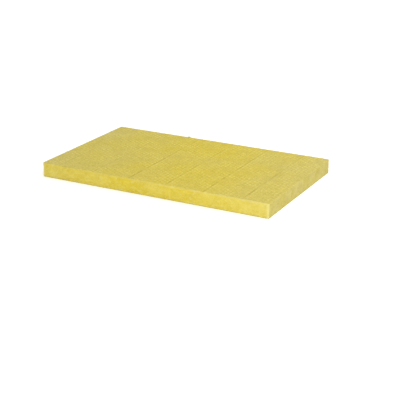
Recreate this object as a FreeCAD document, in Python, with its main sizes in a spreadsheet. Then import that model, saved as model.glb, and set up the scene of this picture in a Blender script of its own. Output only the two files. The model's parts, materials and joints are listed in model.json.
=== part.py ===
"""Basalt wool slab: one pressed and cured board of stone wool, lying flat.

Frame: +X along the slab's length, +Y across its width, +Z up through its thickness.
The origin is the centre of the underside. Millimetres.

The fleece is pressed to thickness between slatted belts while its binder cures, then slit to
width and cross-cut to length. The slab is one piece. Its upper face keeps a shallow trough
wherever two slats of the belt met, and its arrises and corners are soft.
"""

import FreeCAD, Part
import os
import Sketcher

# The driving dimensions. Each one has its own cell in the sheet.
SIZES = {
    "slab_length": 1000.0,
    "slab_width": 600.0,
    "slab_thickness": 60.0,
    "corner_radius": 6.0,  # the four upright corners, seen from above
    "arris_radius": 2.5,  # the long edges of the upper and lower faces
    "first_joint": 79.0,  # from the -X end to the first slat joint
    "slat_pitch": 162.0,  # from one slat joint to the next
    "joint_width": 5.0,
    "joint_depth": 1.0,
    "cutter_rise": 2.0,  # how far the joint's cutter stands above the face
}
SLAB_NODE = "wool_slab"
ORIGIN_POINT = (-1, 1)  # a sketch's own origin, as Sketcher names it
START, END = 1, 2
VOLUME_TOLERANCE = 1e-3  # in joints


def sheet_of_sizes(doc):
    """The spreadsheet that every feature reads its sizes from."""
    sheet = doc.addObject("Spreadsheet::Sheet", "Sizes")
    for row, (alias, value) in enumerate(SIZES.items(), start=1):
        sheet.set(f"A{row}", alias)
        sheet.set(f"B{row}", str(value))
        sheet.setAlias(f"B{row}", alias)
    doc.recompute()
    return sheet


def origin_feature(body, role):
    """One of the body's own planes or axes, such as XY_Plane."""
    return next(f for f in body.Origin.OriginFeatures if f.Role == role)


def new_sketch(body, name, plane):
    """An empty sketch on one of the body's own planes."""
    sketch = body.newObject("Sketcher::SketchObject", name)
    sketch.AttachmentSupport = [(origin_feature(body, plane), "")]
    sketch.MapMode = "FlatFace"
    return sketch


def bind(sketch, kind, *points, expression):
    """A dimension of the sketch that follows an expression on the sheet."""
    index = sketch.addConstraint(Sketcher.Constraint(kind, *points, 1.0))
    sketch.setExpression(f"Constraints[{index}]", expression)


def draw_closed_lines(sketch, corners):
    """Straight lines from corner to corner, joined end to end and back to the first."""
    lines = []
    for here, there in zip(corners, corners[1:] + corners[:1]):
        line = Part.LineSegment(FreeCAD.Vector(*here, 0), FreeCAD.Vector(*there, 0))
        lines.append(sketch.addGeometry(line, False))
    for line, following in zip(lines, lines[1:] + lines[:1]):
        sketch.addConstraint(Sketcher.Constraint("Coincident", line, END, following, START))
    return lines


def slab_blank(body):
    """The plain block: the outline, centred on the origin, padded up to the thickness."""
    sketch = new_sketch(body, "slab_outline", "XY_Plane")
    half_length = SIZES["slab_length"] / 2
    half_width = SIZES["slab_width"] / 2
    corners = [
        (-half_length, -half_width),
        (half_length, -half_width),
        (half_length, half_width),
        (-half_length, half_width),
    ]
    front, right, back, left = draw_closed_lines(sketch, corners)
    for line in (front, back):
        sketch.addConstraint(Sketcher.Constraint("Horizontal", line))
    for line in (right, left):
        sketch.addConstraint(Sketcher.Constraint("Vertical", line))
    sketch.addConstraint(Sketcher.Constraint("Symmetric", front, START, back, START, *ORIGIN_POINT))
    bind(sketch, "DistanceX", front, START, front, END, expression="Sizes.slab_length")
    bind(sketch, "DistanceY", right, START, right, END, expression="Sizes.slab_width")
    pad = body.newObject("PartDesign::Pad", "slab_block")
    pad.Profile = sketch
    pad.setExpression("Length", "Sizes.slab_thickness")
    return pad


def edge_names(shape, wanted):
    """The names of the edges whose two ends satisfy wanted(first, last)."""
    names = []
    for number, edge in enumerate(shape.Edges, start=1):
        first, last = edge.Vertexes[0].Point, edge.Vertexes[-1].Point
        if wanted(first, last):
            names.append(f"Edge{number}")
    return names


def round_edges(body, base, name, names, radius):
    """A fillet on the named edges of the base feature."""
    fillet = body.newObject("PartDesign::Fillet", name)
    fillet.Base = (base, names)
    fillet.setExpression("Radius", radius)
    return fillet


def soften(doc, body, blank):
    """Rounds the four upright corners first, then the rims of the upper and lower faces."""
    tiny = 1e-6
    doc.recompute()
    upright = edge_names(blank.Shape, lambda a, b: abs(a.z - b.z) > tiny)
    corners = round_edges(body, blank, "soft_corners", upright, "Sizes.corner_radius")
    doc.recompute()
    level = edge_names(corners.Shape, lambda a, b: abs(a.z - b.z) < tiny)
    return round_edges(body, corners, "soft_arrises", level, "Sizes.arris_radius")


def slat_joint(body):
    """The trough of the first slat joint, an arc in section, cut right across the slab."""
    sketch = new_sketch(body, "joint_section", "XZ_Plane")
    sketch.setExpression("AttachmentOffset.Base.x", "Sizes.first_joint - Sizes.slab_length / 2")
    sketch.setExpression("AttachmentOffset.Base.y", "Sizes.slab_thickness")
    half, depth, rise = SIZES["joint_width"] / 2, SIZES["joint_depth"], SIZES["cutter_rise"]
    ends = FreeCAD.Vector(-half, 0, 0), FreeCAD.Vector(half, 0, 0)
    trough = sketch.addGeometry(Part.Arc(ends[0], FreeCAD.Vector(0, -depth, 0), ends[1]), False)
    left_up, across, right_down = (
        sketch.addGeometry(Part.LineSegment(FreeCAD.Vector(*a, 0), FreeCAD.Vector(*b, 0)), False)
        for a, b in [
            ((-half, 0), (-half, rise)),
            ((-half, rise), (half, rise)),
            ((half, rise), (half, 0)),
        ]
    )
    for first, second in [
        ((trough, START), (left_up, START)),
        ((left_up, END), (across, START)),
        ((across, END), (right_down, START)),
        ((right_down, END), (trough, END)),
    ]:
        sketch.addConstraint(Sketcher.Constraint("Coincident", *first, *second))
    for line in (left_up, right_down):
        sketch.addConstraint(Sketcher.Constraint("Vertical", line))
    sketch.addConstraint(Sketcher.Constraint("Horizontal", across))
    sketch.addConstraint(Sketcher.Constraint("Equal", left_up, right_down))
    sketch.addConstraint(Sketcher.Constraint("Symmetric", trough, START, trough, END, *ORIGIN_POINT))
    bind(sketch, "DistanceX", across, START, across, END, expression="Sizes.joint_width")
    bind(sketch, "DistanceY", left_up, START, left_up, END, expression="Sizes.cutter_rise")
    bind(
        sketch,
        "Radius",
        trough,
        expression="(Sizes.joint_width ^ 2 / 4 + Sizes.joint_depth ^ 2) / (2 * Sizes.joint_depth)",
    )
    pocket = body.newObject("PartDesign::Pocket", "slat_joint")
    pocket.Profile = sketch
    pocket.SideType = "Symmetric"
    pocket.Type = "Length"
    pocket.setExpression("Length", "2 * Sizes.slab_width")
    return pocket


def repeat_joints(doc, body, pocket):
    """As many slat joints as the length holds, one slat pitch apart."""
    spacings = (
        "floor((Sizes.slab_length - Sizes.first_joint - Sizes.corner_radius) / Sizes.slat_pitch)"
    )
    pattern = body.newObject("PartDesign::LinearPattern", "slat_joints")
    pattern.Originals = [pocket]
    pattern.Direction = (origin_feature(body, "X_Axis"), [""])
    pattern.setExpression("Length", f"{spacings} * Sizes.slat_pitch")
    pattern.setExpression("Occurrences", f"{spacings} + 1")
    body.Tip = pattern
    doc.recompute()
    return pattern


def check_features(doc):
    """Stops if any object of the document failed to compute, or a sketch is left loose."""
    for thing in doc.Objects:
        bad = {"Invalid", "Error"} & set(thing.State)
        if bad:
            raise RuntimeError(f"{thing.Name} is {', '.join(sorted(bad))}")
        if thing.isDerivedFrom("Sketcher::SketchObject") and not thing.FullyConstrained:
            raise RuntimeError(f"{thing.Name} is not fully constrained")


def check_joints(before, after, pocket, pattern):
    """Stops unless every joint of the pattern took away the first joint's share."""
    first_share = before.Volume - pocket.Shape.Volume
    lost = before.Volume - after.Volume
    print(f"{pattern.Occurrences} slat joints of {first_share:.0f} cubic mm took {lost:.0f} in all")
    if first_share <= 0 or abs(lost / first_share - pattern.Occurrences) > VOLUME_TOLERANCE:
        raise RuntimeError("a slat joint is missing or misplaced")


def main():
    doc = FreeCAD.newDocument("basalt_wool_slab")
    sheet_of_sizes(doc)
    body = doc.addObject("PartDesign::Body", "wool_slab_body")
    body.Label = SLAB_NODE
    softened = soften(doc, body, slab_blank(body))
    doc.recompute()
    pocket = slat_joint(body)
    pattern = repeat_joints(doc, body, pocket)
    check_features(doc)
    check_joints(softened.Shape, body.Shape, pocket, pattern)
    if body.Shape.isNull() or not body.Shape.isValid():
        raise RuntimeError(f"{body.Label} has no valid shape")
    os.makedirs("parts", exist_ok=True)
    body.Shape.exportStep(f"parts/{body.Label}.step")
    box = body.Shape.optimalBoundingBox(False, False)
    print(f"{body.Label}: {box.XLength:.1f} x {box.YLength:.1f} x {box.ZLength:.1f} mm")


main()
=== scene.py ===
# %% [markdown]
# # A basalt wool slab
# Basalt wool is melted rock spun into fibres. A loose fleece of them, wetted with a little resin,
# runs between two slatted steel belts into an oven, and the resin cures while the belts hold the
# fleece to thickness. What comes out is slit to width and cross-cut to length. Each face keeps the
# mark of how it was made: the pressed faces carry the print of the belt, and the cut ones show
# torn fibre. This lesson builds both from sizes in millimetres.

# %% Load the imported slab
import json
import math

import bpy
from mathutils import Matrix, Vector

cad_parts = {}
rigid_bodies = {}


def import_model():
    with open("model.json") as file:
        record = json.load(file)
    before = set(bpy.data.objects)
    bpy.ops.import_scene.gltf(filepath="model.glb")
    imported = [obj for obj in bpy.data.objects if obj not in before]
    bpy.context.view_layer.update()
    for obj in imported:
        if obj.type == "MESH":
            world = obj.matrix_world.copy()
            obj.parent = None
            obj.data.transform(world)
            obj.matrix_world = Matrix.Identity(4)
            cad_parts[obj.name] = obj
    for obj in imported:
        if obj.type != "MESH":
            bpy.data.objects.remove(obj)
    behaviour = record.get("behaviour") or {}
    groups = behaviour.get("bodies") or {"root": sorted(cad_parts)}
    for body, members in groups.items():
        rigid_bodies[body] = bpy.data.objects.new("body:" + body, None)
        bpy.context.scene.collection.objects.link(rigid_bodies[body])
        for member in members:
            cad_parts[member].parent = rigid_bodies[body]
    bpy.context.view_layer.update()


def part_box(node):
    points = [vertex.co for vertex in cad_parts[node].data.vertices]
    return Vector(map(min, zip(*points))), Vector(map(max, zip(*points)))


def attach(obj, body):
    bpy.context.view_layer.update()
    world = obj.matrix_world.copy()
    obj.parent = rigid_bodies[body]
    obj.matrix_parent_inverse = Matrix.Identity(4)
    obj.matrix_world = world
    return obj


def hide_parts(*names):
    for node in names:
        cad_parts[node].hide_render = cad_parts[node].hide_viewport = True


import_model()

MM = 0.001
slab_low, slab_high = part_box("wool_slab")
slab_size = slab_high - slab_low
print("slab:", [round(side / MM, 1) for side in slab_size], "mm")

# %% [markdown]
# ## The camera
# A product picture of a long flat thing is taken from far away with a long lens, which keeps its
# edges nearly parallel. The stand is measured from the middle of the upper face, and the direction
# is given as a photographer would say it: how far round, how far down, and a slight lean of the
# head. No aim point is needed, so the slab may sit above the middle of the frame.

# %% Put up the camera
camera_stand = Vector((1.884, -3.474, 1.283))
camera_azimuth = math.radians(27.70)
camera_pitch = math.radians(20.19)
camera_roll = math.radians(0.32)
camera_lens = 92.3

camera_data = bpy.data.cameras.new("long_lens")
camera_data.lens = camera_lens
camera = bpy.data.objects.new("camera", camera_data)
turn = Matrix.Rotation(camera_azimuth, 4, "Z")
tip = Matrix.Rotation(math.pi / 2 - camera_pitch, 4, "X")
lean = Matrix.Rotation(camera_roll, 4, "Z")
upper_middle = Vector(((slab_low.x + slab_high.x) / 2, (slab_low.y + slab_high.y) / 2, slab_high.z))
camera.matrix_world = Matrix.Translation(upper_middle + camera_stand) @ turn @ tip @ lean
bpy.context.scene.collection.objects.link(camera)
bpy.context.scene.camera = camera
bpy.context.scene.view_settings.view_transform = "Standard"
print("camera:", round(camera_stand.length, 2), "m from the slab,", camera_lens, "mm lens")

# %% [markdown]
# ## One helper for nodes
# Materials, the world and Geometry Nodes are all graphs of nodes, and one function can add a node
# to any of them. A socket is found by its name among those in use, because some nodes keep a set
# of hidden sockets of the same names for each kind of data. A colour is written as a designer
# writes it, in sRGB hex, and a renderer wants light, which is linear, so one function turns it.

# %% Helpers for nodes and colours
def find_socket(sockets, key):
    """The socket of that number, or the first one in use that has that name."""
    if isinstance(key, int):
        return sockets[key]
    return next(socket for socket in sockets if socket.enabled and socket.name == key)


def add(tree, kind, feeds=None, **settings):
    """Adds one node and returns it. `settings` are the node's own options. `feeds` gives a socket,
    by name or number, a plain value or the node or output that it is fed from."""
    made = tree.nodes.new(kind)
    for option, choice in settings.items():
        setattr(made, option, choice)
    for key, feed in (feeds or {}).items():
        socket = find_socket(made.inputs, key)
        if isinstance(feed, bpy.types.Node):
            feed = next(output for output in feed.outputs if output.enabled)
        if isinstance(feed, bpy.types.NodeSocket):
            tree.links.new(feed, socket)
        else:
            socket.default_value = feed
    return made


def linear(hex_colour):
    """An sRGB hex colour as the linear red, green, blue and alpha that a shader wants."""
    channels = [int(hex_colour[i:i + 2], 16) / 255 for i in (1, 3, 5)]
    lit = [c / 12.92 if c <= 0.04045 else ((c + 0.055) / 1.055) ** 2.4 for c in channels]
    return (*lit, 1.0)


MATH = "ShaderNodeMath"
VECTOR_MATH = "ShaderNodeVectorMath"
MIX = "ShaderNodeMix"
NOISE = "ShaderNodeTexNoise"
RANDOM = "ShaderNodeTexWhiteNoise"
MAP = "ShaderNodeMapRange"
SPLIT = "ShaderNodeSeparateXYZ"
JOIN = "ShaderNodeCombineXYZ"
print("resin yellow in linear light:", [round(channel, 3) for channel in linear("#E7D24E")[:3]])

# %% [markdown]
# ## Floor, backdrop and light
# The studio is a sheet of white paper with large soft lamps. A floor lit like the slab would come
# out light grey, so for rays that come from the camera, or by way of a mirror or a glass, the
# paper gives off some light of its own and turns white, while its shadow stays. Far from the
# lamps the paper is dimmer, so it gives off more there. All other rays see plain paper, so the
# slab gets no extra light from it.

# %% Make the paper floor and the white room
def seen_directly(tree):
    """1 for a ray from the camera, a mirror or a glass, and 0 for one that carries light."""
    path = add(tree, "ShaderNodeLightPath")
    shiny = add(tree, MATH, {0: path.outputs["Is Camera Ray"], 1: path.outputs["Is Glossy Ray"]},
                operation="MAXIMUM")
    return add(tree, MATH, {0: shiny, 1: path.outputs["Is Transmission Ray"]}, operation="MAXIMUM")


floor_reach = 24.0
paper_drop = 0.4 * MM
near_lift = 0.42
far_lift = 0.66
near_reach = 1.2
far_reach = 3.2
room_light = 0.45

paper = bpy.data.materials.new("studio_paper")
paper.use_nodes = True
paper.node_tree.nodes.clear()
paper_matte = add(paper.node_tree, "ShaderNodeBsdfDiffuse", {"Color": linear("#F2F2F0")})
paper_glow = add(paper.node_tree, "ShaderNodeEmission", {"Color": linear("#FFFFFF")})
paper_place = add(paper.node_tree, "ShaderNodeTexCoord").outputs["Object"]
paper_distance = add(paper.node_tree, VECTOR_MATH, {0: paper_place}, operation="LENGTH")
paper_lift = add(paper.node_tree, MAP, {
    "Value": paper_distance.outputs["Value"], "From Min": near_reach, "From Max": far_reach,
    "To Min": near_lift, "To Max": far_lift})
paper_strength = add(paper.node_tree, MATH, {0: seen_directly(paper.node_tree), 1: paper_lift},
                     operation="MULTIPLY")
paper.node_tree.links.new(paper_strength.outputs[0], paper_glow.inputs["Strength"])
paper_both = add(paper.node_tree, "ShaderNodeAddShader", {0: paper_matte, 1: paper_glow})
add(paper.node_tree, "ShaderNodeOutputMaterial", {"Surface": paper_both})

floor_mesh = bpy.data.meshes.new("paper_floor")
corners = [(x * floor_reach / 2, y * floor_reach / 2, slab_low.z - paper_drop)
           for x, y in ((-1, -1), (1, -1), (1, 1), (-1, 1))]
floor_mesh.from_pydata(corners, [], [(0, 1, 2, 3)])
floor_mesh.materials.append(paper)
floor = bpy.data.objects.new("paper_floor", floor_mesh)
bpy.context.scene.collection.objects.link(floor)

world = bpy.data.worlds.new("white_room")
bpy.context.scene.world = world
world.use_nodes = True
world.node_tree.nodes.clear()
room_strength = add(world.node_tree, MAP, {"Value": seen_directly(world.node_tree),
                                           "To Min": room_light, "To Max": 1.0})
room = add(world.node_tree, "ShaderNodeBackground", {"Color": linear("#FFFFFF"),
                                                     "Strength": room_strength})
add(world.node_tree, "ShaderNodeOutputWorld", {"Surface": room})
print("floor:", floor_reach, "m of paper; room light", room_light)

# %% [markdown]
# ## Lamps
# Three softboxes. The first and strongest stands in front and to the right, low enough to rake over
# the pressed face and show its print. It is nearer the right end, so the long edge fades a little
# to the left. The other two hang above and fill the pressed face.

# %% Hang the softboxes
softboxes = {
    # name: where it stands, its side in metres, its power in watts
    "front_right_softbox": (Vector((2.6, -3.4, 1.6)), 1.3, 86.0),
    "high_right_softbox": (Vector((1.4, 0.9, 2.6)), 1.4, 31.0),
    "high_left_softbox": (Vector((-1.2, 0.6, 2.6)), 1.4, 10.0),
}
for name, (stand, side, power) in softboxes.items():
    lamp = bpy.data.lights.new(name, "AREA")
    lamp.shape = "SQUARE"
    lamp.size = side
    lamp.energy = power
    hung = bpy.data.objects.new(name, lamp)
    hung.location = stand
    hung.rotation_mode = "QUATERNION"
    hung.rotation_quaternion = (upper_middle - stand).to_track_quat("-Z", "Y")
    bpy.context.scene.collection.objects.link(hung)
print("softboxes:", ", ".join(softboxes))

# %% [markdown]
# ## Sizes of the belt print
# A slat of the belt is a perforated steel strip. Where two slats meet, the wool keeps a shallow
# trough right across, and through each hole it swells into a low nub. The holes stand in staggered
# rows. Ten rows fill one slat, so the row spacing follows from the slat.

# %% Name the sizes
corner_radius = 6.0 * MM
arris_radius = 2.5 * MM
first_joint = slab_low.x + 79.0 * MM
slat_pitch = 162.0 * MM
joint_width = 5.0 * MM
joint_depth = 1.0 * MM
rows_per_slat = 10
row_spacing = slat_pitch / rows_per_slat
nub_spacing = 20.2 * MM
nub_radius = 8.0 * MM
nub_height = 1.6 * MM
print("rows every", round(row_spacing / MM, 2), "mm, nubs every", round(nub_spacing / MM, 1), "mm")

# %% [markdown]
# ## A skin with enough points
# Relief made by moving points needs points where the relief is. A subdivided cube would spend as
# many on the underside, which lies on the floor, as on the upper face. Here the skin is laid in
# three parts that share their points: a fine grid on top whose lines fall on the rows of nubs and
# on the joints, rings that go round the arris and down the sides, and a coarse underside.

# %% Helpers for grid lines
def grid_lines(low, high, anchor, step):
    """Both ends, and every whole step from the anchor that isn't right beside an end."""
    first = math.ceil((low - anchor) / step + 0.4)
    last = math.floor((high - anchor) / step - 0.4)
    return [low, *(anchor + i * step for i in range(first, last + 1)), high]


def walk_round(columns, rows):
    """The grid's outer points in order, anticlockwise from above."""
    return ([(i, 0) for i in range(columns)] + [(columns, j) for j in range(rows)]
            + [(i, rows) for i in range(columns, 0, -1)] + [(0, j) for j in range(rows, 0, -1)])


def every_so_many(last, step):
    """0, step, 2 step and so on, and the last one, with no short rest before it."""
    marks = list(range(0, last, step))
    if last - marks[-1] < step / 2:
        marks.pop()
    return marks + [last]


print("grid lines from 0 to 10 by 4:", grid_lines(0.0, 10.0, 0.0, 4.0))

# %% [markdown]
# ## Laying the parts together
# The grid's outer points are walked round once, in order. Each stands on the rounded outline and
# knows the way out from the slab's core. A ring is that outline at one height, drawn in by an
# inset, so arris, side and arris are all rings. Each grid shares its outer points with the ring
# that it meets, so the skin is closed and nothing has to be merged.

# %% Lay the skin
cells_per_row = 6
side_rows = 19
arris_steps = 3


def lay_skin():
    """The slab's plain closed skin as a mesh: rounded corners and arrises, nothing pressed yet."""
    xs = grid_lines(slab_low.x + arris_radius, slab_high.x - arris_radius, first_joint,
                    row_spacing / cells_per_row)
    ys = grid_lines(slab_low.y + arris_radius, slab_high.y - arris_radius, 0.0,
                    nub_spacing / cells_per_row)
    nx = len(xs) - 1
    ny = len(ys) - 1
    points = []
    faces = []
    rim = walk_round(nx, ny)

    # Where each rim point stands: the nearest point of the core, and the way out from it.
    stands = []
    for i, j in rim:
        x = slab_low.x if i == 0 else slab_high.x if i == nx else xs[i]
        y = slab_low.y if j == 0 else slab_high.y if j == ny else ys[j]
        core = Vector((min(max(x, slab_low.x + corner_radius), slab_high.x - corner_radius),
                       min(max(y, slab_low.y + corner_radius), slab_high.y - corner_radius)))
        stands.append((core, (Vector((x, y)) - core).normalized()))

    def add_ring(inset, height):
        start = len(points)
        for core, outward in stands:
            out = core + outward * (corner_radius - inset)
            points.append((out.x, out.y, height))
        return list(range(start, len(points)))

    # Rings from the upper rim to the lower one: an arris, the upright side, an arris.
    quarter = [math.pi / 2 * k / arris_steps for k in range(arris_steps + 1)]
    section = [(arris_radius * (1 - math.sin(a)), slab_high.z - arris_radius * (1 - math.cos(a)))
               for a in quarter]
    side = slab_size.z - 2 * arris_radius
    section += [(0.0, slab_high.z - arris_radius - side * k / side_rows) for k in range(1, side_rows)]
    section += [(arris_radius * (1 - math.cos(a)), slab_low.z + arris_radius * (1 - math.sin(a)))
                for a in quarter]
    rings = [add_ring(inset, height) for inset, height in section]
    for upper, lower in zip(rings, rings[1:]):
        for k in range(len(rim)):
            after = (k + 1) % len(rim)
            faces.append((upper[k], lower[k], lower[after], upper[after]))

    # The fine grid on top, which shares its outer points with the first ring.
    top = dict(zip(rim, rings[0]))
    for i in range(1, nx):
        for j in range(1, ny):
            top[i, j] = len(points)
            points.append((xs[i], ys[j], slab_high.z))
    for i in range(nx):
        for j in range(ny):
            faces.append((top[i, j], top[i + 1, j], top[i + 1, j + 1], top[i, j + 1]))

    # The coarse underside. Beside the rim a cell takes in every fine point along it.
    below = dict(zip(rim, rings[-1]))
    wide = every_so_many(nx, cells_per_row)
    deep = every_so_many(ny, cells_per_row)
    for i in wide[1:-1]:
        for j in deep[1:-1]:
            below[i, j] = len(points)
            points.append((xs[i], ys[j], slab_low.z))
    for i0, i1 in zip(wide, wide[1:]):
        for j0, j1 in zip(deep, deep[1:]):
            outline = [(i, j0) for i in range(i0, i1)] + [(i1, j) for j in range(j0, j1)]
            outline += [(i, j1) for i in range(i1, i0, -1)] + [(i0, j) for j in range(j1, j0, -1)]
            faces.append([below[mark] for mark in reversed(outline) if mark in below])

    mesh = bpy.data.meshes.new("slab_skin")
    mesh.from_pydata(points, [], faces)
    mesh.polygons.foreach_set("use_smooth", [True] * len(mesh.polygons))
    return mesh


skin = lay_skin()
print("skin:", len(skin.vertices), "points,", len(skin.polygons), "faces")

# %% [markdown]
# ## The nubs as a rule
# The same rule shapes the wool and colours it, so it is written once, as functions that add their
# nodes to any tree. The first takes a place on the face and says how high the wool stands in a
# nub there. Wool isn't clay, and takes a print badly: the nubs wander a little off their rows, no
# two are alike, and in places they hardly show. The wander is a noise added to the place, the
# faint patches are a noise multiplied into the height, and each nub draws its own height.

# %% Write the rule of the nubs
nub_wander = 2.5 * MM
wander_reach = 24.0 * MM
faint_reach = 70.0 * MM
lowest_nub = 0.45
faintest_patch = 0.2


def nub_print(tree, place):
    """Adds the nubs' rule to a tree. Returns how high the wool stands in a nub, from 0 to 1."""
    # Where the place would be if the wool had not shifted under the belt.
    shift = add(tree, NOISE, {"Vector": place, "Scale": 1 / wander_reach, "Detail": 1.0})
    shift = add(tree, VECTOR_MATH, {0: shift.outputs["Color"], 1: (0.5, 0.5, 0.5)},
                operation="SUBTRACT")
    shift = add(tree, VECTOR_MATH, {0: shift, "Scale": 2 * nub_wander}, operation="SCALE")
    shifted = add(tree, VECTOR_MATH, {0: place, 1: shift}, operation="ADD")
    shifted = add(tree, SPLIT, {"Vector": shifted})

    # Which row of holes, and which hole in it. Every second row is moved by half a hole.
    along = add(tree, MATH, {0: shifted.outputs["X"], 1: first_joint}, operation="SUBTRACT")
    along = add(tree, MATH, {0: along, 1: row_spacing}, operation="DIVIDE")
    row = add(tree, MATH, {0: along}, operation="FLOOR")
    stagger = add(tree, MATH, {0: row, 1: 0.5}, operation="MULTIPLY")
    across = add(tree, MATH, {0: shifted.outputs["Y"], 1: nub_spacing}, operation="DIVIDE")
    across = add(tree, MATH, {0: across, 1: stagger}, operation="ADD")
    hole = add(tree, MATH, {0: across}, operation="FLOOR")

    # How far the place is from the middle of its hole.
    aside = add(tree, MATH, {0: along}, operation="FRACT")
    aside = add(tree, MATH, {0: aside, 1: 0.5}, operation="SUBTRACT")
    aside = add(tree, MATH, {0: aside, 1: row_spacing}, operation="MULTIPLY")
    ahead = add(tree, MATH, {0: across}, operation="FRACT")
    ahead = add(tree, MATH, {0: ahead, 1: 0.5}, operation="SUBTRACT")
    ahead = add(tree, MATH, {0: ahead, 1: nub_spacing}, operation="MULTIPLY")
    offset = add(tree, JOIN, {"X": aside, "Y": ahead})
    distance = add(tree, VECTOR_MATH, {0: offset}, operation="LENGTH")
    dome = add(tree, MAP, {"Value": distance.outputs["Value"], "From Min": 0.0,
                           "From Max": nub_radius, "To Min": 1.0, "To Max": 0.0},
               interpolation_type="SMOOTHSTEP")

    # Each nub has its own height, and whole patches of them are faint.
    seat = add(tree, JOIN, {"X": row, "Y": hole})
    own = add(tree, RANDOM, {"Vector": seat}, noise_dimensions="2D")
    own = add(tree, MAP, {"Value": own, "To Min": lowest_nub, "To Max": 1.0})
    faint = add(tree, NOISE, {"Vector": place, "Scale": 1 / faint_reach, "Detail": 2.0})
    faint = add(tree, MAP, {"Value": faint, "From Min": 0.42, "From Max": 0.58,
                            "To Min": faintest_patch, "To Max": 1.0})
    nub = add(tree, MATH, {0: dome, 1: own}, operation="MULTIPLY")
    return add(tree, MATH, {0: nub, 1: faint}, operation="MULTIPLY")


print("nubs: up to", round(nub_height / MM, 1), "mm high and", round(2 * nub_radius / MM), "mm wide")

# %% [markdown]
# ## The joints as a rule
# The joints run straight across, at every whole number of slats from the first one, so rounding
# the count of slats finds the nearest joint. A noise makes each joint deeper in some places than
# in others. On this slab the joints are also fainter towards the left end and towards the back,
# which two plain ramps along X and Y give. A paler line beside each joint is a painted highlight
# on its lit side.

# %% Write the rule of the joints
joint_reach = 45.0 * MM
shallowest_joint = 0.15
left_ramp = (-0.28 * slab_size.x, -0.1 * slab_size.x)
left_depth = 0.4
back_ramp = (-0.1 * slab_size.y, 0.2 * slab_size.y)
back_depth = 0.6
joint_highlight_offset = 12.0 * MM
joint_highlight_reach = 6.0 * MM


def joint_print(tree, place):
    """Adds the joints' rule to a tree. Returns joint depth and a painted highlight beside the joint,
    each from 0 to 1.
    """
    spot = add(tree, SPLIT, {"Vector": place})
    slats = add(tree, MATH, {0: spot.outputs["X"], 1: first_joint}, operation="SUBTRACT")
    slats = add(tree, MATH, {0: slats, 1: slat_pitch}, operation="DIVIDE")
    nearest = add(tree, MATH, {0: slats}, operation="ROUND")
    gap = add(tree, MATH, {0: slats, 1: nearest}, operation="SUBTRACT")
    beside = add(tree, MATH, {0: gap, 1: slat_pitch}, operation="MULTIPLY")
    gap = add(tree, MATH, {0: beside}, operation="ABSOLUTE")
    joint = add(tree, MAP, {"Value": gap, "From Min": 0.0, "From Max": joint_width,
                            "To Min": 1.0, "To Max": 0.0}, interpolation_type="SMOOTHSTEP")
    deep = add(tree, NOISE, {"Vector": place, "Scale": 1 / joint_reach, "Detail": 2.0})
    deep = add(tree, MAP, {"Value": deep, "From Min": 0.4, "From Max": 0.6,
                           "To Min": shallowest_joint, "To Max": 1.0})
    tight = add(tree, MAP, {"Value": spot.outputs["X"], "From Min": left_ramp[0],
                            "From Max": left_ramp[1], "To Min": left_depth, "To Max": 1.0})
    deep = add(tree, MATH, {0: deep, 1: tight}, operation="MULTIPLY")
    back = add(tree, MAP, {"Value": spot.outputs["Y"], "From Min": back_ramp[0],
                           "From Max": back_ramp[1], "To Min": 1.0, "To Max": back_depth})
    deep = add(tree, MATH, {0: deep, 1: back}, operation="MULTIPLY")
    joint = add(tree, MATH, {0: joint, 1: deep}, operation="MULTIPLY")

    # The painted highlight lies on one side of the joint only, and is as strong as the joint is deep.
    joint_highlight = add(tree, MATH, {0: beside, 1: joint_highlight_offset}, operation="SUBTRACT")
    joint_highlight = add(tree, MATH, {0: joint_highlight}, operation="ABSOLUTE")
    joint_highlight = add(tree, MAP, {"Value": joint_highlight, "From Min": 0.0, "From Max": joint_highlight_reach,
                            "To Min": 1.0, "To Max": 0.0}, interpolation_type="SMOOTHSTEP")
    joint_highlight = add(tree, MATH, {0: joint_highlight, 1: deep}, operation="MULTIPLY")
    return joint, joint_highlight


print("joints:", round(joint_depth / MM, 1), "mm deep, every", round(slat_pitch / MM), "mm")

# %% [markdown]
# ## The finish: cured stone wool
# Wool is matte, because light goes in among thousands of fibres and comes out in every direction.
# The resin makes it yellow. Where steel pressed it, the face is felted and a little olive. The
# slit long edge shows torn wool in clouds of deep and pale yellow, and the cross-cut end shows
# fibres head on, which is paler and greyer. Each face could have a material of its own, but they
# run into each other over the arrises, so one material mixes three colours. It reads four marks
# that the tree further down writes on each point of the skin, each from 0 to 1.

# %% Start the wool material
def between(tree, share, dark, pale):
    """Adds a mix of two hex colours, or of two colours from other nodes."""
    ends = [linear(c) if isinstance(c, str) else c for c in (dark, pale)]
    return add(tree, MIX, {"Factor": share, "A": ends[0], "B": ends[1]}, data_type="RGBA")


wool = bpy.data.materials.new("cured_stone_wool")
wool.use_nodes = True
tree = wool.node_tree
tree.nodes.clear()
wool_marks = ("pressed", "end_cut", "flock", "rim")
pressed, end_cut, flock, rim = [
    add(tree, "ShaderNodeAttribute", attribute_name=mark).outputs["Fac"] for mark in wool_marks]
place = add(tree, "ShaderNodeTexCoord").outputs["Object"]
xyz = add(tree, SPLIT, {"Vector": place}).outputs
nub = nub_print(tree, place)
joint, joint_highlight = joint_print(tree, place)
print("marks that the wool reads:", ", ".join(wool_marks))

# %% [markdown]
# ## Noises from coarse to fine
# Wool is uneven at every size, from clouds as wide as a hand to single fibres. One noise gives
# little say in how much there is of each size, so four noises share the work, each with a size
# in millimetres, and the faces use them in their own shares. Real fibres are about 5 thousandths
# of a millimetre thick, far too fine to draw, so the finest noise, the grain, stands for bunches
# of them.

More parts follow.
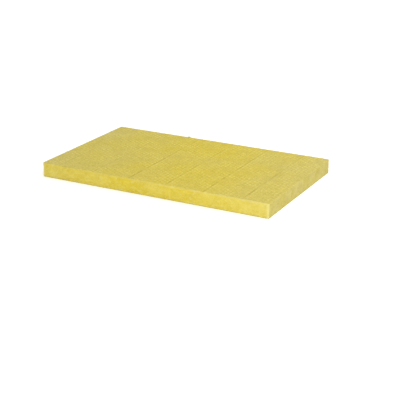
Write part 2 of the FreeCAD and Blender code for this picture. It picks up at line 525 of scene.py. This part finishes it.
# %% Lay out the noises of the wool
cloud_reach = 180.0 * MM
tuft_reach = 26.0 * MM
wisp_reach = 7.0 * MM
grain_reach = 1.8 * MM
clouds = add(tree, NOISE, {"Vector": place, "Scale": 1 / cloud_reach, "Detail": 3.0})
tufts = add(tree, NOISE, {"Vector": place, "Scale": 1 / tuft_reach, "Detail": 4.0,
                          "Roughness": 0.6})
wisps = add(tree, NOISE, {"Vector": place, "Scale": 1 / wisp_reach, "Detail": 5.0,
                          "Roughness": 0.65, "Distortion": 1.4})
grain = add(tree, NOISE, {"Vector": place, "Scale": 1 / grain_reach, "Detail": 3.0,
                          "Roughness": 0.7, "Distortion": 0.8})

# How pale the wool is at each place: tufts, wisps and grain together, spread about a half.
mottle = add(tree, MIX, {"Factor": 0.5, "A": tufts, "B": wisps}, data_type="FLOAT")
mottle = add(tree, MIX, {"Factor": 0.2, "A": mottle, "B": grain}, data_type="FLOAT")
mottle = add(tree, MAP, {"Value": mottle, "From Min": 0.36, "From Max": 0.64})
cloud_share = add(tree, MAP, {"Value": clouds, "From Min": 0.35, "From Max": 0.65})

# 1 in the middle of the length and 0 at its ends, and the other way round.
middle = add(tree, MATH, {0: xyz["X"]}, operation="ABSOLUTE")
middle = add(tree, MAP, {"Value": middle, "From Min": 0.15 * slab_size.x,
                         "From Max": 0.5 * slab_size.x, "To Min": 1.0, "To Max": 0.0})
outer = add(tree, MATH, {0: 1.0, 1: middle}, operation="SUBTRACT")
print("noises:", [round(reach / MM, 1) for reach in (cloud_reach, tuft_reach, wisp_reach,
                                                      grain_reach)], "mm")

# %% [markdown]
# ## The pressed face
# A felted skin, darker in the joints, where shade is painted into the troughs along with some denser
# resin, and paler on the nub crowns and on one side of each joint, as painted highlights. The wool is
# a deeper yellow towards the middle of the length. Flecks of painted shade in hollows and of pale
# bunched fibre are drawn 4.5 mm wide, coarser than they are, so that they show. One noise gives
# both: its low places are the shaded hollows and its high ones the bunches.

# %% Colour the pressed face
fleck_reach = 4.5 * MM
nub_highlight_share = 0.9
hollow_shade_share = 0.32
bunch_share = 0.36
joint_shade_share = 0.38
joint_highlight_share = 0.2
depth_of_yellow = add(tree, MIX, {"Factor": 0.6, "A": cloud_share, "B": middle},
                      data_type="FLOAT")
felt_mottle = add(tree, MIX, {"Factor": 0.62, "A": tufts, "B": wisps}, data_type="FLOAT")
felt_mottle = add(tree, MIX, {"Factor": 0.3, "A": felt_mottle, "B": grain}, data_type="FLOAT")
felt_mottle = add(tree, MAP, {"Value": felt_mottle, "From Min": 0.38, "From Max": 0.62})
felt_olive = between(tree, felt_mottle, "#C4B45D", "#DECF7C")
felt_yellow = between(tree, felt_mottle, "#CDB73A", "#E7D24E")
felt = between(tree, depth_of_yellow, felt_olive, felt_yellow)
# A painted highlight on the raised nub crowns.
nub_highlight = add(tree, MATH, {0: nub, 1: nub_highlight_share}, operation="MULTIPLY")
pressed_colour = between(tree, nub_highlight, felt, "#F0E379")

flecks = add(tree, NOISE, {"Vector": place, "Scale": 1 / fleck_reach, "Detail": 2.0,
                           "Roughness": 0.6, "Distortion": 0.6})
# Painted shade in small hollows of the felt.
hollow_shade = add(tree, MAP, {"Value": flecks, "From Min": 0.36, "From Max": 0.44,
                          "To Min": hollow_shade_share, "To Max": 0.0})
pressed_colour = between(tree, hollow_shade, pressed_colour, "#93812F")
bunches = add(tree, MAP, {"Value": flecks, "From Min": 0.57, "From Max": 0.66, "To Min": 0.0,
                          "To Max": bunch_share})
pressed_colour = between(tree, bunches, pressed_colour, "#F3E88A")

# Painted shade in the joint troughs, with some denser resin.
joint_shade = add(tree, MATH, {0: joint, 1: joint_shade_share}, operation="MULTIPLY")
pressed_colour = between(tree, joint_shade, pressed_colour, "#8A7726")
# A painted highlight on one side of each joint.
joint_highlight_mix = add(tree, MATH, {0: joint_highlight, 1: joint_highlight_share}, operation="MULTIPLY")
pressed_colour = between(tree, joint_highlight_mix, pressed_colour, "#F3E78E")
print("pressed face: flecks", round(fleck_reach / MM, 1), "mm wide")

# %% [markdown]
# ## The slit edge
# Torn wool in clouds of deep and pale yellow, with flocks that are paler still. Bright fibre lies
# along the slit in short level streaks. They come from a noise that is stretched to about three
# times as long as it is high, and are drawn 5 mm high, coarser than they are, so that they show.

# %% Colour the slit edge
streak_reach = 5.0 * MM
streak_stretch = (0.35, 0.35, 1.0)
streak_share = 0.24
flock_paleness = 0.55
slit_share = add(tree, MIX, {"Factor": 0.5, "A": cloud_share, "B": outer}, data_type="FLOAT")
slit_deep = between(tree, mottle, "#DBC234", "#EFDA50")
slit_pale = between(tree, mottle, "#DDC84F", "#F2E27C")
slit_colour = between(tree, slit_share, slit_deep, slit_pale)
flock_share = add(tree, MATH, {0: flock, 1: flock_paleness}, operation="MULTIPLY")
slit_colour = between(tree, flock_share, slit_colour, "#F3E47C")
level_place = add(tree, VECTOR_MATH, {0: place, 1: streak_stretch}, operation="MULTIPLY")
streaks = add(tree, NOISE, {"Vector": level_place, "Scale": 1 / streak_reach, "Detail": 2.0})
streaks = add(tree, MAP, {"Value": streaks, "From Min": 0.56, "From Max": 0.66, "To Min": 0.0,
                          "To Max": streak_share})
slit_colour = between(tree, streaks, slit_colour, "#FAF1AC")
print("slit edge: streaks", round(streak_reach / MM, 1), "mm high")

# %% [markdown]
# ## The cross-cut end, and the three faces together
# The end shows the fibres head on, paler and greyer than the slit edge, and nearly even: two
# close pairs of colours, mixed by blots as wide as the slab is thick. Then the marks on the skin
# choose between the faces, and where a mark lies between 0 and 1 the two colours blend.

# %% Colour the end and mix the faces
blot_reach = 60.0 * MM
blots = add(tree, NOISE, {"Vector": place, "Scale": 1 / blot_reach, "Detail": 3.0})
blot_share = add(tree, MAP, {"Value": blots, "From Min": 0.35, "From Max": 0.65})
end_deep = between(tree, mottle, "#C5B450", "#DED073")
end_pale = between(tree, mottle, "#C7B961", "#E0D384")
end_colour = between(tree, blot_share, end_deep, end_pale)
cut_colour = between(tree, end_cut, slit_colour, end_colour)
wool_colour = between(tree, pressed, cut_colour, pressed_colour)
print("cross-cut end: blots", round(blot_reach / MM), "mm wide")

# %% [markdown]
# ## Painted highlights on the torn arris and the corners
# Along the upper arris of the long edges the wool is torn, and a ragged pale band is painted
# there as a highlight, which reaches a little way onto the pressed face. It is faint at the left
# end and strongest at the right. The slit edges get a painted highlight beside the upright corners
# too. Both are ramps on the distance from the arris or the corner, made ragged by adding a noise to
# that distance before the ramp.

# %% Paint highlights on the arris and the corners
ragged_reach = 6.0 * MM
band_full = 3.0 * MM
band_end = 12.0 * MM
faintest_band = 0.05
strongest_band = 0.6
corner_full = 5.0 * MM
corner_end = 14.0 * MM
corner_strength = 0.5
rim_highlight_strength = 0.5
ragged = add(tree, MIX, {"Factor": 0.5, "A": tufts, "B": wisps}, data_type="FLOAT")
ragged = add(tree, MAP, {"Value": ragged, "From Min": 0.35, "From Max": 0.65,
                         "To Min": ragged_reach, "To Max": -ragged_reach})

# A step onto the pressed face counts twice, so the band is half as wide there.
below_top = add(tree, MATH, {0: slab_high.z, 1: xyz["Z"]}, operation="SUBTRACT")
from_edge = add(tree, MATH, {0: xyz["Y"]}, operation="ABSOLUTE")
from_edge = add(tree, MATH, {0: slab_high.y, 1: from_edge}, operation="SUBTRACT")
to_arris = add(tree, MATH, {0: from_edge, 1: 2.0, 2: below_top}, operation="MULTIPLY_ADD")
to_arris = add(tree, MATH, {0: to_arris, 1: ragged}, operation="SUBTRACT")
arris_highlight = add(tree, MAP, {"Value": to_arris, "From Min": band_full, "From Max": band_end,
                           "To Min": 1.0, "To Max": 0.0})
# The painted highlight grows from the left end to the right.
highlight_ramp = add(tree, MAP, {"Value": xyz["X"], "From Min": slab_low.x, "From Max": slab_high.x,
                        "To Min": faintest_band, "To Max": strongest_band})
arris_highlight = add(tree, MATH, {0: arris_highlight, 1: highlight_ramp}, operation="MULTIPLY")

corner_highlight = add(tree, MATH, {0: xyz["X"]}, operation="ABSOLUTE")
corner_highlight = add(tree, MATH, {0: corner_highlight, 1: ragged}, operation="ADD")
corner_highlight = add(tree, MAP, {"Value": corner_highlight, "From Min": slab_high.x - corner_end,
                              "From Max": slab_high.x - corner_full, "To Min": 0.0,
                              "To Max": corner_strength})
on_cut = add(tree, MATH, {0: 1.0, 1: pressed}, operation="SUBTRACT")
corner_highlight = add(tree, MATH, {0: corner_highlight, 1: on_cut}, operation="MULTIPLY")

edge_highlight = add(tree, MATH, {0: arris_highlight, 1: corner_highlight}, operation="MAXIMUM")
off_end = add(tree, MATH, {0: 1.0, 1: end_cut}, operation="SUBTRACT")
edge_highlight = add(tree, MATH, {0: edge_highlight, 1: off_end}, operation="MULTIPLY")
# Mixes in the painted highlight of the arris and the corners.
wool_colour = between(tree, edge_highlight, wool_colour, "#F5EAA0")

# The arrises: loose fibre stands up along them, and a painted highlight pales them.
rim_highlight = add(tree, MATH, {0: rim, 1: rim_highlight_strength}, operation="MULTIPLY")
wool_colour = between(tree, rim_highlight, wool_colour, "#F0E48C")
print("torn band:", round(band_end / MM), "mm deep, ragged by", round(ragged_reach / MM), "mm")

# %% [markdown]
# ## Fuzz
# The wisps and the grain are also a bump, because bunched fibres shade each other. Roughness is
# close to 1, and the fibres are glassy, with an IOR of 1.5, but so fine and so loose that hardly
# any gloss is left, which a low specular level gives. The underside has too few points to shape,
# so its nubs are drawn as a part of the bump.

# %% Finish the wool material
fuzz_height = 1.2 * MM
facing_down = -0.7
relief = add(tree, MIX, {"Factor": 0.4, "A": wisps, "B": grain}, data_type="FLOAT")
facing = add(tree, SPLIT, {"Vector": add(tree, "ShaderNodeTexCoord").outputs["Normal"]})
below = add(tree, MATH, {0: facing.outputs["Z"], 1: facing_down}, operation="LESS_THAN")
below = add(tree, MATH, {0: below, 1: nub}, operation="MULTIPLY")
relief = add(tree, MATH, {0: relief, 1: below}, operation="ADD")
fuzz = add(tree, "ShaderNodeBump", {"Height": relief, "Strength": 0.8, "Distance": fuzz_height})
dull = add(tree, MAP, {"Value": grain, "To Min": 0.8, "To Max": 1.0})
surface = add(tree, "ShaderNodeBsdfPrincipled", {
    "Base Color": wool_colour, "Roughness": dull, "IOR": 1.5, "Specular IOR Level": 0.1,
    "Sheen Weight": 0.04, "Sheen Roughness": 0.5, "Normal": fuzz})
add(tree, "ShaderNodeOutputMaterial", {"Surface": surface})
print("wool material:", len(tree.nodes), "nodes")

# %% [markdown]
# ## Press and cut the skin
# One Geometry Nodes tree turns the plain skin into the slab. On the upper face it lowers the wool
# between the nubs and in the joints; on the cut faces it digs in along the layers of the fleece.
# Every move is inwards, so the slab never outgrows its frame. First come two helpers that any
# tree needs: one gives it named inputs, and one runs it on a mesh and keeps the plain result.

# %% Helpers for Geometry Nodes
def give_inputs(tree, sizes):
    """Gives a tree a geometry input and output, and a number input for each named size."""
    tree.interface.new_socket("Geometry", in_out="INPUT", socket_type="NodeSocketGeometry")
    tree.interface.new_socket("Geometry", in_out="OUTPUT", socket_type="NodeSocketGeometry")
    for name, value in sizes.items():
        kind = "NodeSocketInt" if isinstance(value, int) else "NodeSocketFloat"
        tree.interface.new_socket(name, in_out="INPUT", socket_type=kind)
    return add(tree, "NodeGroupInput")


def run_tree(mesh, tree, sizes, name):
    """Runs a tree on a mesh and returns the result as a new object with a plain mesh."""
    worked = bpy.data.objects.new(name, mesh)
    bpy.context.scene.collection.objects.link(worked)
    modifier = worked.modifiers.new(tree.name, "NODES")
    modifier.node_group = tree
    for item in tree.interface.items_tree:
        if item.in_out == "INPUT" and item.name in sizes:
            modifier[item.identifier] = sizes[item.name]
    bpy.context.view_layer.update()
    depsgraph = bpy.context.evaluated_depsgraph_get()
    plain = bpy.data.meshes.new_from_object(worked.evaluated_get(depsgraph), depsgraph=depsgraph,
                                            preserve_all_data_layers=True)
    plain.name = name
    worked.modifiers.clear()
    worked.data = plain
    triangles = sum(len(face.vertices) - 2 for face in plain.polygons)
    print(name + ":", triangles, "triangles")
    return worked


print("helpers: give_inputs and run_tree")

# %% [markdown]
# ## Which way the skin faces
# The normal tells what was done to each point. Where it points up or down, steel pressed the
# wool; along X is the cross-cut end and along Y the slit edge; in between is an arris. Smooth
# ramps on the normal give each point a share in each kind of face, which the wool's colours read
# as well. One more mark is a small spot on the back arris, where a tuft stands up.

# %% Start the relief tree
relief_sizes = {
    "Nub Height": nub_height,
    "Joint Depth": joint_depth,
    "Face Unevenness": 0.6 * MM,
    "Layer Depth": 1.0 * MM,
    "Flock Depth": 0.9 * MM,
    "Arris Crumble": 2.4 * MM,
}
tuft_radius = 5.0 * MM
tuft_spot = Vector((slab_low.x + 0.35 * slab_size.x, slab_high.y, slab_high.z))
relief_tree = bpy.data.node_groups.new("press_and_cut", "GeometryNodeTree")
inputs = give_inputs(relief_tree, relief_sizes).outputs
tree = relief_tree
position = add(tree, "GeometryNodeInputPosition")
normal = add(tree, "GeometryNodeInputNormal")
facing = add(tree, SPLIT, {"Vector": normal})
upright = add(tree, MATH, {0: facing.outputs["Z"]}, operation="ABSOLUTE")
endways = add(tree, MATH, {0: facing.outputs["X"]}, operation="ABSOLUTE")
is_pressed = add(tree, MAP, {"Value": upright, "From Min": 0.45, "From Max": 0.9},
                 interpolation_type="SMOOTHSTEP")
is_end = add(tree, MAP, {"Value": endways, "From Min": 0.45, "From Max": 0.9},
             interpolation_type="SMOOTHSTEP")
widest = add(tree, VECTOR_MATH, {0: normal}, operation="ABSOLUTE")
widest = add(tree, SPLIT, {"Vector": widest})
most = add(tree, MATH, {0: widest.outputs["X"], 1: widest.outputs["Y"]}, operation="MAXIMUM")
most = add(tree, MATH, {0: most, 1: widest.outputs["Z"]}, operation="MAXIMUM")
is_rim = add(tree, MAP, {"Value": most, "From Min": 0.99, "From Max": 0.86},
             interpolation_type="SMOOTHSTEP")
is_top = add(tree, MAP, {"Value": facing.outputs["Z"], "From Min": 0.45, "From Max": 0.98},
             interpolation_type="SMOOTHSTEP")
is_side = add(tree, MAP, {"Value": upright, "From Min": 0.9, "From Max": 0.3, "To Min": 0.0,
                          "To Max": 1.0}, interpolation_type="SMOOTHSTEP")

is_tuft = add(tree, VECTOR_MATH, {0: position, 1: tuft_spot}, operation="DISTANCE")
is_tuft = add(tree, MATH, {0: is_tuft.outputs["Value"], 1: tuft_radius}, operation="LESS_THAN")
print("relief tree:", ", ".join(relief_sizes))

# %% [markdown]
# ## Sinking the pressed face
# Wool stands full height only on top of the nubs, so everything around them is sunk, and the
# joints are sunk further. A slow swell is added, because no fleece is equally thick everywhere.

# %% Sink the pressed face
swell_reach = 60.0 * MM
nub = nub_print(tree, position)
joint, _ = joint_print(tree, position)
hollow = add(tree, MATH, {0: 1.0, 1: nub}, operation="SUBTRACT")
sunk = add(tree, MATH, {0: hollow, 1: inputs["Nub Height"]}, operation="MULTIPLY")
slot = add(tree, MATH, {0: joint, 1: inputs["Joint Depth"]}, operation="MULTIPLY")
sunk = add(tree, MATH, {0: sunk, 1: slot}, operation="ADD")
swell = add(tree, NOISE, {"Vector": position, "Scale": 1 / swell_reach, "Detail": 4.0})
swell = add(tree, MATH, {0: swell, 1: inputs["Face Unevenness"]}, operation="MULTIPLY")
sunk = add(tree, MATH, {0: sunk, 1: swell}, operation="ADD")
sunk = add(tree, MATH, {0: sunk, 1: is_top}, operation="MULTIPLY")
print("pressed face: swell", round(swell_reach / MM), "mm wide")

# %% [markdown]
# ## Digging into the cut faces
# Cut wool shows the layers of the fleece, long and shallow, and flocks that stand a little proud
# of them. Each is a noise squeezed in Z: four times for the layers, and about twice for the
# flocks. Along the arrises a finer noise takes wool off, here more and there less.

# %% Dig into the cut faces and the arrises
layer_reach = 38.0 * MM
layer_squeeze = (1.0, 1.0, 4.0)
flock_reach = 24.0 * MM
flock_squeeze = (1.0, 1.0, 2.2)
crumb_reach = 9.0 * MM
lying = add(tree, VECTOR_MATH, {0: position, 1: layer_squeeze}, operation="MULTIPLY")
layers = add(tree, NOISE, {"Vector": lying, "Scale": 1 / layer_reach, "Detail": 5.0,
                           "Roughness": 0.6, "Distortion": 0.4})
layers = add(tree, MATH, {0: layers, 1: inputs["Layer Depth"]}, operation="MULTIPLY")
squat = add(tree, VECTOR_MATH, {0: position, 1: flock_squeeze}, operation="MULTIPLY")
flocks = add(tree, NOISE, {"Vector": squat, "Scale": 1 / flock_reach, "Detail": 3.0,
                           "Distortion": 0.3})
flocks = add(tree, MAP, {"Value": flocks, "From Min": 0.5, "From Max": 0.72},
             interpolation_type="SMOOTHSTEP")
level = add(tree, MATH, {0: 1.0, 1: flocks}, operation="SUBTRACT")
level = add(tree, MATH, {0: level, 1: inputs["Flock Depth"]}, operation="MULTIPLY")
dug = add(tree, MATH, {0: layers, 1: level}, operation="ADD")
dug = add(tree, MATH, {0: dug, 1: is_side}, operation="MULTIPLY")
crumbs = add(tree, NOISE, {"Vector": position, "Scale": 1 / crumb_reach, "Detail": 3.0})
crumbs = add(tree, MATH, {0: crumbs, 1: inputs["Arris Crumble"]}, operation="MULTIPLY")
worn = add(tree, MATH, {0: crumbs, 1: is_rim}, operation="MULTIPLY")
print("cut faces: layers", round(layer_reach / MM), "mm and flocks", round(flock_reach / MM), "mm")

# %% [markdown]
# ## Moving the points and writing the marks
# The depths are added up, and each point moves that far against its normal. The marks are stored
# before the move, while the normals are still those of the plain skin. The tree ends with the
# material, and its result is kept as a plain mesh.

# %% Move the points and run the relief tree
inward = add(tree, MATH, {0: sunk, 1: dug}, operation="ADD")
inward = add(tree, MATH, {0: inward, 1: worn}, operation="ADD")
inward = add(tree, MATH, {0: inward, 1: -1.0}, operation="MULTIPLY")
move = add(tree, VECTOR_MATH, {0: normal, "Scale": inward}, operation="SCALE")
step = inputs["Geometry"]
for name, value in (("pressed", is_pressed), ("end_cut", is_end), ("flock", flocks),
                    ("rim", is_rim), ("tuft", is_tuft)):
    step = add(tree, "GeometryNodeStoreNamedAttribute", {"Geometry": step, "Name": name,
                                                         "Value": value})
step = add(tree, "GeometryNodeSetPosition", {"Geometry": step, "Offset": move})
step = add(tree, "GeometryNodeRealizeInstances", {"Geometry": step})
step = add(tree, "GeometryNodeSetMaterial", {"Geometry": step, "Material": wool})
add(tree, "NodeGroupOutput", {"Geometry": step})
body = run_tree(skin, relief_tree, relief_sizes, "pressed_wool_body")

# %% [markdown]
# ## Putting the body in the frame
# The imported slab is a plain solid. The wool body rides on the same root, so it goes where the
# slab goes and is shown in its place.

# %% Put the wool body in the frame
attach(body, "root")
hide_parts("wool_slab")
print("body:", len(body.data.vertices), "points, in place of wool_slab")

# %% [markdown]
# ## Loose fibres
# Sawing leaves the cut faces and the arrises hairy, and the belt lays some fibres flat on the
# pressed face. One tree does it all: it scatters points on the body's skin, more on some faces than
# on others, sets a short bent strand on each, and makes them real. A real fibre is finer than a
# hair, so each strand here stands for a bunch of them. It has three sides and four straight
# parts, because there are thousands. The fibre is the same glassy stone as the body's, with a
# little more gloss, because a bare strand isn't shaded by others, and each has its own tint.

# %% Make the strand material
tone_reach = 4.0 * MM
strand_wool = bpy.data.materials.new("loose_stone_fibre")
strand_wool.use_nodes = True
tree = strand_wool.node_tree
tree.nodes.clear()
tint = add(tree, "ShaderNodeAttribute", attribute_name="tint").outputs["Fac"]
strand_colour = between(tree, tint, "#C6B662", "#F6EDA8")
along_strand = add(tree, NOISE, {"Vector": add(tree, "ShaderNodeTexCoord").outputs["Object"],
                                 "Scale": 1 / tone_reach})
strand_dull = add(tree, MAP, {"Value": along_strand, "To Min": 0.55, "To Max": 0.9})
surface = add(tree, "ShaderNodeBsdfPrincipled", {
    "Base Color": strand_colour, "Roughness": strand_dull, "IOR": 1.5, "Specular IOR Level": 0.2})
add(tree, "ShaderNodeOutputMaterial", {"Surface": surface})
print("strand material:", len(tree.nodes), "nodes")

# %% [markdown]
# ## How many strands, and where
# A density is a number of strands for each square metre, and the marks on the body's skin say
# how much of each density a place gets: the cut faces many, the pressed ones few, the arrises
# most, and the one small spot on the back arris a thick tuft. No strand grows close to the floor,
# because it would reach through it.

# %% Scatter points for the strands
strand_sizes = {
    "Cut Density": 16000.0,
    "Pressed Density": 2600.0,
    "Arris Density": 30000.0,
    "Tuft Density": 900000.0,
    "Strand Length": 12.0 * MM,
    "Strand Radius": 0.11 * MM,
    "Clear of Floor": 5.0 * MM,
    "Seed": 7,
}
strand_tree = bpy.data.node_groups.new("loose_strands", "GeometryNodeTree")
inputs = give_inputs(strand_tree, strand_sizes).outputs
tree = strand_tree
marks = {mark: add(tree, "GeometryNodeInputNamedAttribute", {"Name": mark}, data_type="FLOAT")
         for mark in ("pressed", "rim", "tuft")}
cut = add(tree, MATH, {0: 1.0, 1: marks["pressed"]}, operation="SUBTRACT")
density = add(tree, MATH, {0: cut, 1: inputs["Cut Density"]}, operation="MULTIPLY")
for mark, size in (("pressed", "Pressed Density"), ("rim", "Arris Density"),
                   ("tuft", "Tuft Density")):
    density = add(tree, MATH, {0: marks[mark], 1: inputs[size], 2: density},
                  operation="MULTIPLY_ADD")
height = add(tree, SPLIT, {"Vector": add(tree, "GeometryNodeInputPosition")}).outputs["Z"]
clear = add(tree, MATH, {0: height, 1: inputs["Clear of Floor"]}, operation="GREATER_THAN")
density = add(tree, MATH, {0: density, 1: clear}, operation="MULTIPLY")
scatter = add(tree, "GeometryNodeDistributePointsOnFaces", {
    "Mesh": inputs["Geometry"], "Density": density, "Seed": inputs["Seed"]})
print("strand tree:", ", ".join(strand_sizes))

# %% [markdown]
# ## Three shapes of strand
# A strand is a curve with two handles, and a circle of three points drawn along it makes it a
# tube with closed ends. Three shapes are enough, because each strand is turned and scaled in its
# own way.

# %% Bend the strands
strand_sides = 3
strand_parts = 4
strand_shapes = (
    # the two handles of a strand one unit long: how far aside and how far off the face
    ((0.22, 0.05), (0.26, 0.10)),
    ((0.24, 0.08), (-0.24, 0.04)),
    ((-0.10, 0.02), (-0.38, 0.16)),
)
section = add(tree, "GeometryNodeCurvePrimitiveCircle", {
    "Resolution": strand_sides, "Radius": inputs["Strand Radius"]})
shapes = add(tree, "GeometryNodeJoinGeometry")
for (aside, off), (aside_end, off_end) in strand_shapes:
    bent = add(tree, "GeometryNodeCurvePrimitiveBezierSegment", {
        "Resolution": strand_parts, "Start": (-0.5, 0.0, 0.0), "Start Handle": (-0.2, aside, off),
        "End Handle": (0.2, aside_end, off_end), "End": (0.5, 0.0, 0.02)})
    sized = add(tree, "GeometryNodeTransform", {
        "Geometry": bent,
        "Scale": add(tree, JOIN, {axis: inputs["Strand Length"] for axis in "XYZ"})})
    tube = add(tree, "GeometryNodeCurveToMesh", {"Curve": sized, "Profile Curve": section,
                                                 "Fill Caps": True})
    kept = add(tree, "GeometryNodeGeometryToInstance", {"Geometry": tube})
    tree.links.new(kept.outputs[0], shapes.inputs[0])
print("strand shapes:", len(strand_shapes))

# %% [markdown]
# ## How the strands lie
# Each lies flat on its face. On a cut face it follows the layers, give or take half a radian; on
# the pressed one it lies every way; in the tuft it stands up too. The level direction is the
# cross product of the way out and the way up. That is nothing on a face that lies flat, so a hint
# of X is added, and the strand has a direction there too.

# %% Lay the strands down
layer_spin = 0.5
flat_lift = 0.18
tuft_lift = 1.2
hint_of_x = (0.001, 0.0, 0.0)
outward = scatter.outputs["Normal"]
level = add(tree, VECTOR_MATH, {0: outward, 1: (0.0, 0.0, 1.0)}, operation="CROSS_PRODUCT")
level = add(tree, VECTOR_MATH, {0: level, 1: hint_of_x}, operation="ADD")
flat = add(tree, "FunctionNodeAlignRotationToVector", {"Vector": outward}, axis="Z")
flat = add(tree, "FunctionNodeAlignRotationToVector", {"Rotation": flat, "Vector": level},
           axis="X", pivot_axis="Z")
own_spin = add(tree, "FunctionNodeRandomValue", {"Min": -1.0, "Max": 1.0, "Seed": 1})
widest_spin = add(tree, MAP, {"Value": marks["pressed"], "To Min": layer_spin, "To Max": math.pi})
spin = add(tree, MATH, {0: own_spin, 1: widest_spin}, operation="MULTIPLY")
own_lift = add(tree, "FunctionNodeRandomValue", {"Min": -1.0, "Max": 1.0, "Seed": 2})
widest_lift = add(tree, MAP, {"Value": marks["tuft"], "To Min": flat_lift, "To Max": tuft_lift})
lift = add(tree, MATH, {0: own_lift, 1: widest_lift}, operation="MULTIPLY")
swing = add(tree, "FunctionNodeEulerToRotation", {"Euler": add(tree, JOIN, {"Y": lift, "Z": spin})})
lying = add(tree, "FunctionNodeRotateRotation", {"Rotation": flat, "Rotate By": swing},
            rotation_space="LOCAL")
print("strands lie within", layer_spin, "radian of the layers on a cut face")

# %% [markdown]
# ## Setting the strands on the points
# Each point gets one of the shapes, at its own length, and a tint that the strand material reads.
# In the tuft the strands are longer and painted a little darker, as painted shade in the clump. All
# of them ride on the root, so they stay with the wool.

# %% Set the strands and run the tree
own_scale = add(tree, "FunctionNodeRandomValue", {"Min": 0.4, "Max": 1.2, "Seed": 3})
own_scale = add(tree, MATH, {0: marks["tuft"], 1: 0.5, 2: own_scale}, operation="MULTIPLY_ADD")
own_shape = add(tree, "FunctionNodeRandomValue", {"Min": 0, "Max": len(strand_shapes) - 1, "Seed": 4},
                data_type="INT")
step = add(tree, "GeometryNodeInstanceOnPoints", {
    "Points": scatter.outputs["Points"], "Instance": shapes, "Pick Instance": True,
    "Instance Index": own_shape, "Rotation": lying, "Scale": own_scale})
own_tint = add(tree, "FunctionNodeRandomValue", {"Min": 0.3, "Max": 1.0, "Seed": 5})
# The tuft's strands are painted darker, as painted shade in the clump.
tuft_shade = add(tree, MAP, {"Value": marks["tuft"], "To Min": 1.0, "To Max": 0.7})
own_tint = add(tree, MATH, {0: own_tint, 1: tuft_shade}, operation="MULTIPLY")
step = add(tree, "GeometryNodeStoreNamedAttribute", {"Geometry": step, "Name": "tint",
                                                     "Value": own_tint}, domain="INSTANCE")
step = add(tree, "GeometryNodeRealizeInstances", {"Geometry": step})
step = add(tree, "GeometryNodeSetMaterial", {"Geometry": step, "Material": strand_wool})
add(tree, "NodeGroupOutput", {"Geometry": step})
strands = run_tree(body.data.copy(), strand_tree, strand_sizes, "loose_strands")
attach(strands, "root")
